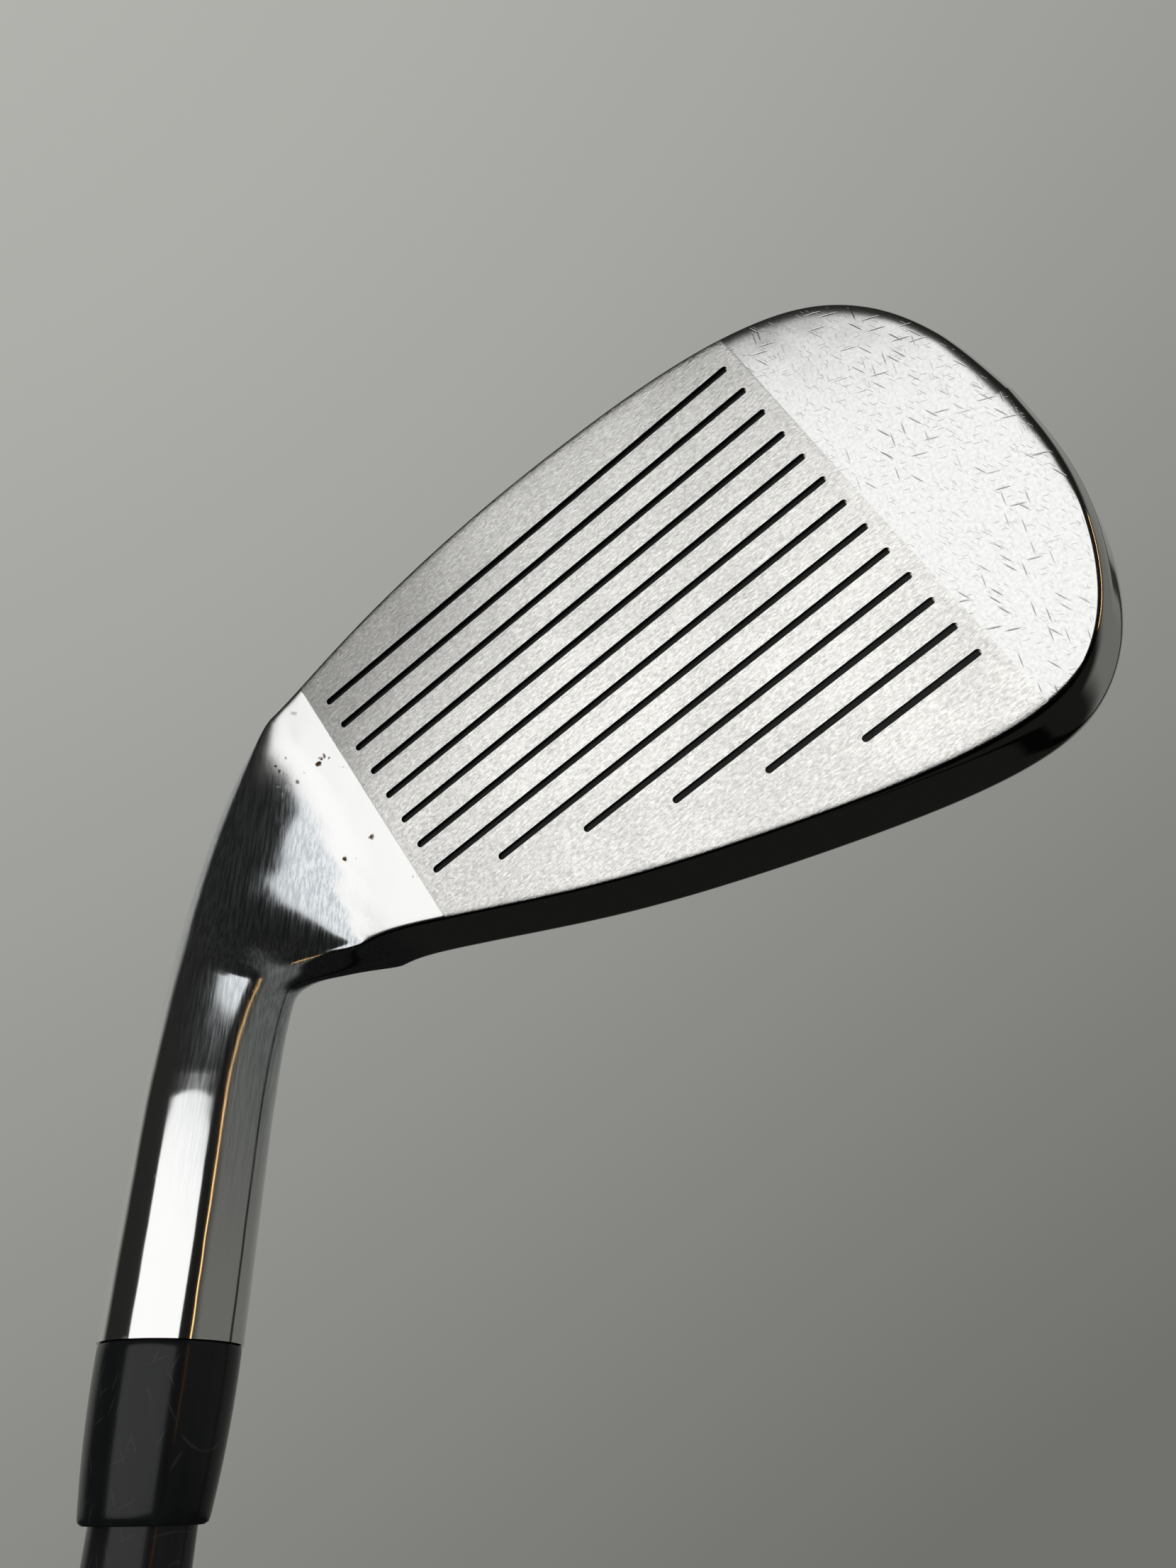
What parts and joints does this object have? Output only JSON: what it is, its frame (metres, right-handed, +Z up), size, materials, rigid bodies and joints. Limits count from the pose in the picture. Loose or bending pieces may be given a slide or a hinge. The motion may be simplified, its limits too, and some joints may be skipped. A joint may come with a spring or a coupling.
{
  "type": "golf iron",
  "caption": "Right-handed iron golf club with a grooved, bead-blasted face, polished cavity-back head, black ferrule, gloss black tapered shaft and a rubber grip.",
  "frame": {"origin": "centre of the grip's butt end, on the shaft's axis", "axes": "+Z up the shaft's axis from the grip's butt end to the head, +X towards the toe, the striking face looks towards -Y. The club is held head-up."},
  "size_m": [0.1129, 0.0357, 1.0083],
  "materials": {
    "head_steel": "polished nickel-chrome over forged steel, bead-blasted hitting area",
    "ferrule_plastic": "gloss black",
    "shaft_lacquer": "gloss black lacquer over carbon composite",
    "band_film": "satin grey film, plain",
    "epoxy": "cured epoxy",
    "brass": "turned brass",
    "cork": "cork",
    "adhesive_pad": "foam adhesive",
    "damper_rubber": "matt elastomer",
    "badge_metal": "brushed aluminium, plain",
    "tape_paper": "double-sided paper tape",
    "grip_rubber": "matt black textured rubber"
  },
  "bodies": {
    "root": {"iron_head": "head_steel", "hosel_epoxy": "epoxy", "ferrule": "ferrule_plastic", "shaft": "shaft_lacquer", "tip_weight": "brass", "shaft_cork": "cork", "shaft_band": "band_film", "badge_adhesive": "adhesive_pad", "damper_pad": "damper_rubber", "cavity_badge": "badge_metal", "grip_tape": "tape_paper", "grip_sleeve": "grip_rubber", "grip_cap": "grip_rubber"}
  },
  "joints": []
}
